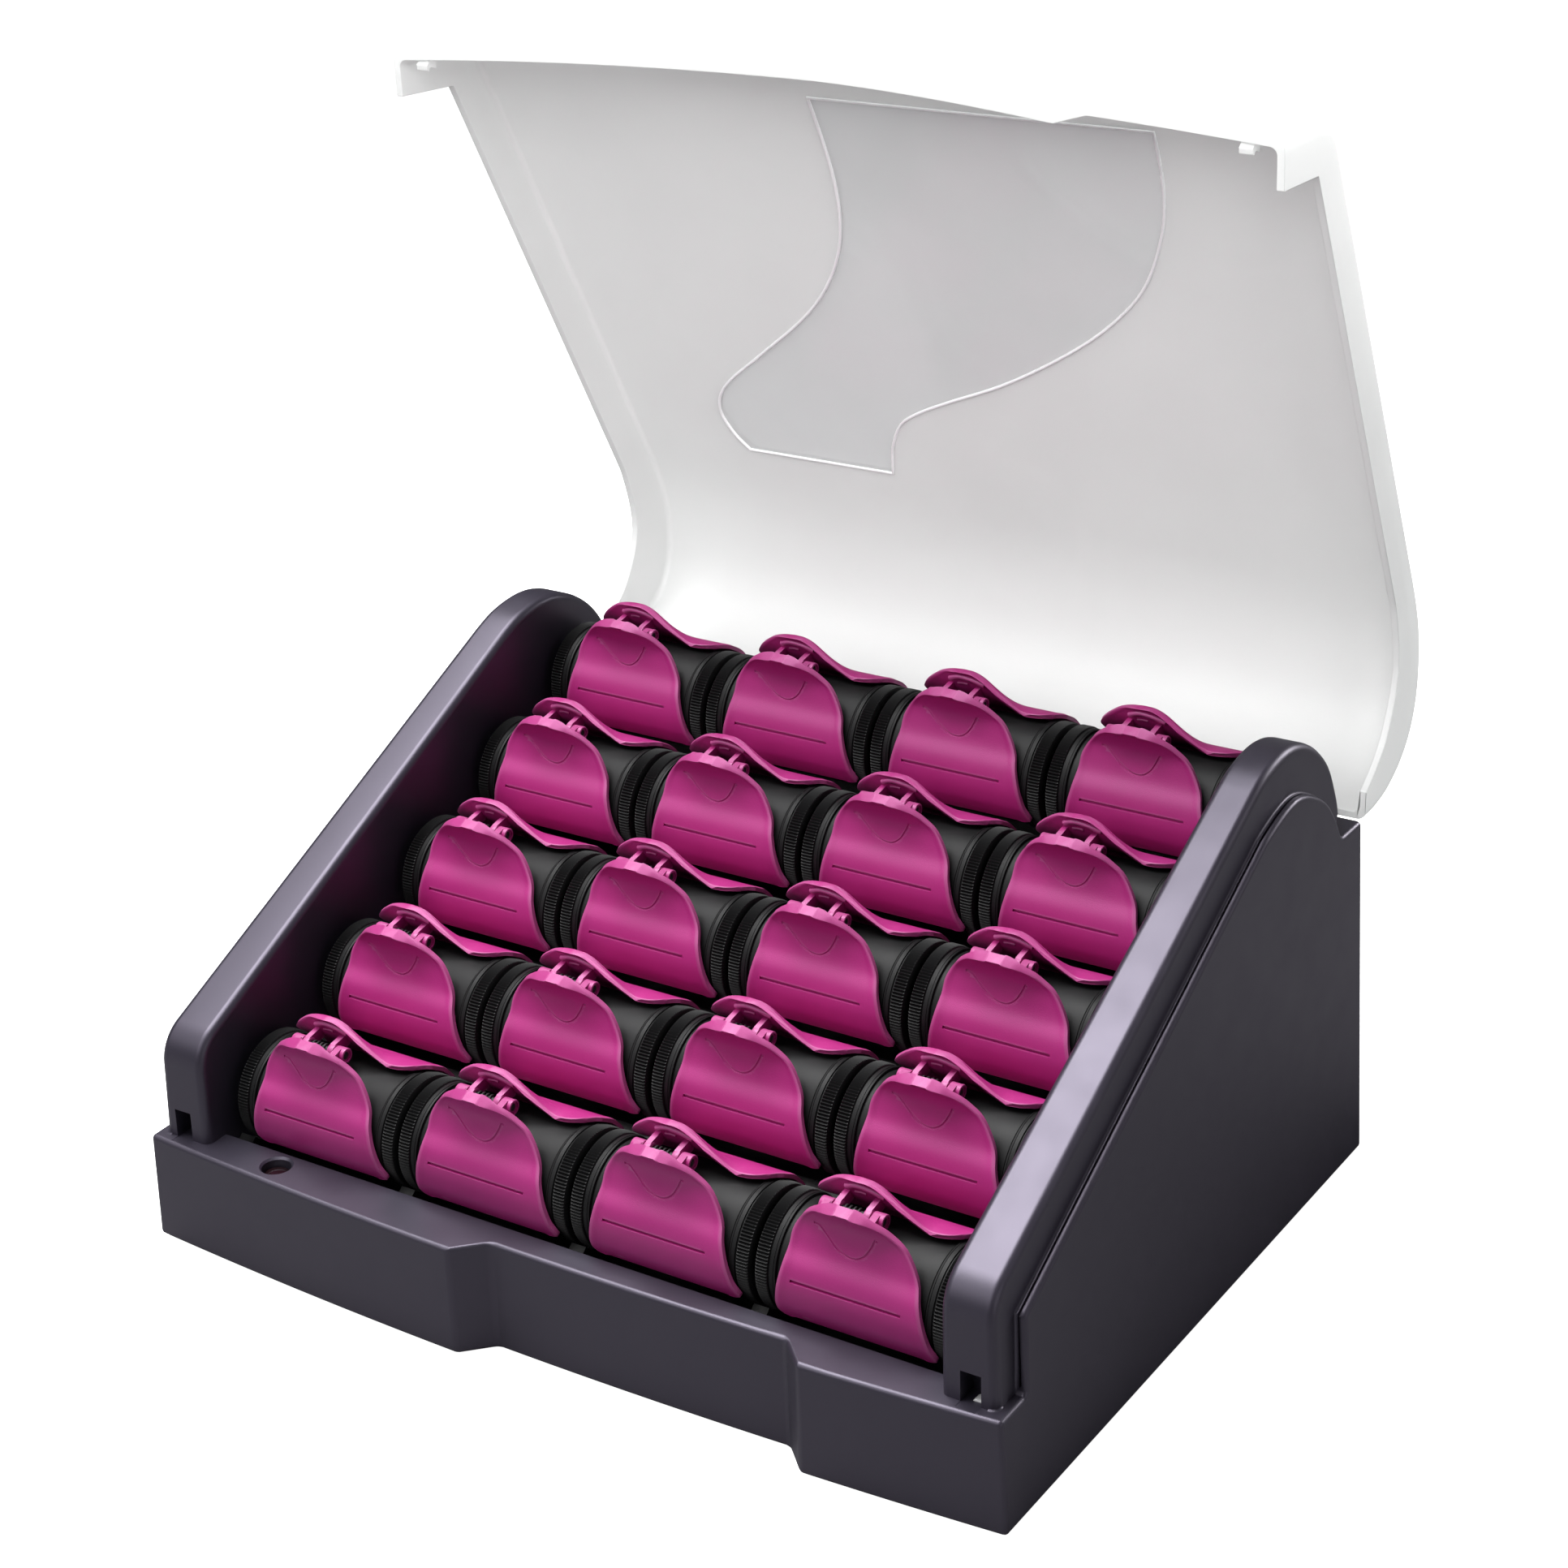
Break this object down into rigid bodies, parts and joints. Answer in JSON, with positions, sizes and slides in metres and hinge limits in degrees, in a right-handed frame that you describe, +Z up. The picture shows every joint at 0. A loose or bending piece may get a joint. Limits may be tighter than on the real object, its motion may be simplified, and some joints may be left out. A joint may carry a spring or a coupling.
{
  "type": "heated hair roller set",
  "caption": "Heated hair roller set: sloping dark purple-grey case, stepped rows of black ribbed rollers in magenta claw clips, frosted white hinged lid with a clear window",
  "frame": {"origin": "middle of the footprint of the whole object with the lid open, on the surface the feet stand on", "axes": "+X to the user's right along the rows, +Y from the front ledge to the hinge at the back, +Z up"},
  "size_m": [0.3064, 0.2884, 0.3515],
  "materials": {
    "housing": "satin moulded plastic with a very fine grain, dark purple grey",
    "tray": "matte black heat-resistant moulding",
    "roller": "matte black with fine turned grooves and knurled end rings",
    "clip": "satin magenta moulded plastic",
    "lid": "frosted translucent white plastic",
    "window": "clear smoke-grey plastic pane, polished",
    "lens": "polished dark lens",
    "plate": "mill-finish sheet",
    "steel": "plain drawn steel",
    "rubber": "matte black rubber",
    "cable": "matte black cable sheath"
  },
  "bodies": {
    "case": {"base_housing": "housing", "bottom_cover": "housing", "indicator_lens": "lens", "foot_front_left": "rubber", "foot_front_right": "rubber", "foot_rear_left": "rubber", "foot_rear_right": "rubber", "roller_tray": "tray", "heater_plate": "plate", "heating_element": "steel", "thermostat": "steel", "cord_grommet": "rubber", "power_cord": "cable", "hinge_pin_left": "steel", "hinge_pin_right": "steel"},
    "lid": {"lid_shell": "lid", "lid_window": "window"},
    "roller_r1_c1_body": {"roller_r1_c1": "roller", "clip_r1_c1": "clip"},
    "roller_r1_c2_body": {"roller_r1_c2": "roller", "clip_r1_c2": "clip"},
    "roller_r1_c3_body": {"roller_r1_c3": "roller", "clip_r1_c3": "clip"},
    "roller_r1_c4_body": {"roller_r1_c4": "roller", "clip_rear_r1_c4": "clip", "clip_spring_r1_c4": "steel", "clip_pin_r1_c4": "steel"},
    "jaw_r1_c4_body": {"clip_front_r1_c4": "clip"},
    "roller_r2_c1_body": {"roller_r2_c1": "roller", "clip_r2_c1": "clip"},
    "roller_r2_c2_body": {"roller_r2_c2": "roller", "clip_r2_c2": "clip"},
    "roller_r2_c3_body": {"roller_r2_c3": "roller", "clip_r2_c3": "clip"},
    "roller_r2_c4_body": {"roller_r2_c4": "roller", "clip_r2_c4": "clip"},
    "roller_r3_c1_body": {"roller_r3_c1": "roller", "clip_r3_c1": "clip"},
    "roller_r3_c2_body": {"roller_r3_c2": "roller", "clip_r3_c2": "clip"},
    "roller_r3_c3_body": {"roller_r3_c3": "roller", "clip_r3_c3": "clip"},
    "roller_r3_c4_body": {"roller_r3_c4": "roller", "clip_r3_c4": "clip"},
    "roller_r4_c1_body": {"roller_r4_c1": "roller", "clip_r4_c1": "clip"},
    "roller_r4_c2_body": {"roller_r4_c2": "roller", "clip_r4_c2": "clip"},
    "roller_r4_c3_body": {"roller_r4_c3": "roller", "clip_r4_c3": "clip"},
    "roller_r4_c4_body": {"roller_r4_c4": "roller", "clip_r4_c4": "clip"},
    "roller_r5_c1_body": {"roller_r5_c1": "roller", "clip_r5_c1": "clip"},
    "roller_r5_c2_body": {"roller_r5_c2": "roller", "clip_r5_c2": "clip"},
    "roller_r5_c3_body": {"roller_r5_c3": "roller", "clip_r5_c3": "clip"},
    "roller_r5_c4_body": {"roller_r5_c4": "roller", "clip_r5_c4": "clip"}
  },
  "joints": [
    {"name": "lid_hinge", "type": "hinge", "parent": "case", "child": "lid", "pos_m": [0, 0.09369, 0.1134], "axis": [-1, 0, 0], "range_deg": [-90, 0]},
    {"name": "lift_r1_c1", "type": "slide", "parent": "case", "child": "roller_r1_c1_body", "axis": [0, 0, 1], "range_m": [0, 0.06]},
    {"name": "lift_r1_c2", "type": "slide", "parent": "case", "child": "roller_r1_c2_body", "axis": [0, 0, 1], "range_m": [0, 0.06]},
    {"name": "lift_r1_c3", "type": "slide", "parent": "case", "child": "roller_r1_c3_body", "axis": [0, 0, 1], "range_m": [0, 0.06]},
    {"name": "lift_r1_c4", "type": "slide", "parent": "case", "child": "roller_r1_c4_body", "axis": [0, 0, 1], "range_m": [0, 0.06]},
    {"name": "lift_r2_c1", "type": "slide", "parent": "case", "child": "roller_r2_c1_body", "axis": [0, 0, 1], "range_m": [0, 0.06]},
    {"name": "lift_r2_c2", "type": "slide", "parent": "case", "child": "roller_r2_c2_body", "axis": [0, 0, 1], "range_m": [0, 0.06]},
    {"name": "lift_r2_c3", "type": "slide", "parent": "case", "child": "roller_r2_c3_body", "axis": [0, 0, 1], "range_m": [0, 0.06]},
    {"name": "lift_r2_c4", "type": "slide", "parent": "case", "child": "roller_r2_c4_body", "axis": [0, 0, 1], "range_m": [0, 0.06]},
    {"name": "lift_r3_c1", "type": "slide", "parent": "case", "child": "roller_r3_c1_body", "axis": [0, 0, 1], "range_m": [0, 0.06]},
    {"name": "lift_r3_c2", "type": "slide", "parent": "case", "child": "roller_r3_c2_body", "axis": [0, 0, 1], "range_m": [0, 0.06]},
    {"name": "lift_r3_c3", "type": "slide", "parent": "case", "child": "roller_r3_c3_body", "axis": [0, 0, 1], "range_m": [0, 0.06]},
    {"name": "lift_r3_c4", "type": "slide", "parent": "case", "child": "roller_r3_c4_body", "axis": [0, 0, 1], "range_m": [0, 0.06]},
    {"name": "lift_r4_c1", "type": "slide", "parent": "case", "child": "roller_r4_c1_body", "axis": [0, 0, 1], "range_m": [0, 0.06]},
    {"name": "lift_r4_c2", "type": "slide", "parent": "case", "child": "roller_r4_c2_body", "axis": [0, 0, 1], "range_m": [0, 0.06]},
    {"name": "lift_r4_c3", "type": "slide", "parent": "case", "child": "roller_r4_c3_body", "axis": [0, 0, 1], "range_m": [0, 0.06]},
    {"name": "lift_r4_c4", "type": "slide", "parent": "case", "child": "roller_r4_c4_body", "axis": [0, 0, 1], "range_m": [0, 0.06]},
    {"name": "lift_r5_c1", "type": "slide", "parent": "case", "child": "roller_r5_c1_body", "axis": [0, 0, 1], "range_m": [0, 0.06]},
    {"name": "lift_r5_c2", "type": "slide", "parent": "case", "child": "roller_r5_c2_body", "axis": [0, 0, 1], "range_m": [0, 0.06]},
    {"name": "lift_r5_c3", "type": "slide", "parent": "case", "child": "roller_r5_c3_body", "axis": [0, 0, 1], "range_m": [0, 0.06]},
    {"name": "lift_r5_c4", "type": "slide", "parent": "case", "child": "roller_r5_c4_body", "axis": [0, 0, 1], "range_m": [0, 0.06]},
    {"name": "clip_jaw_r1_c4", "type": "hinge", "parent": "roller_r1_c4_body", "child": "jaw_r1_c4_body", "pos_m": [0.096, -0.11221, 0.06944], "axis": [-1, 0, 0], "range_deg": [0, 25]}
  ]
}
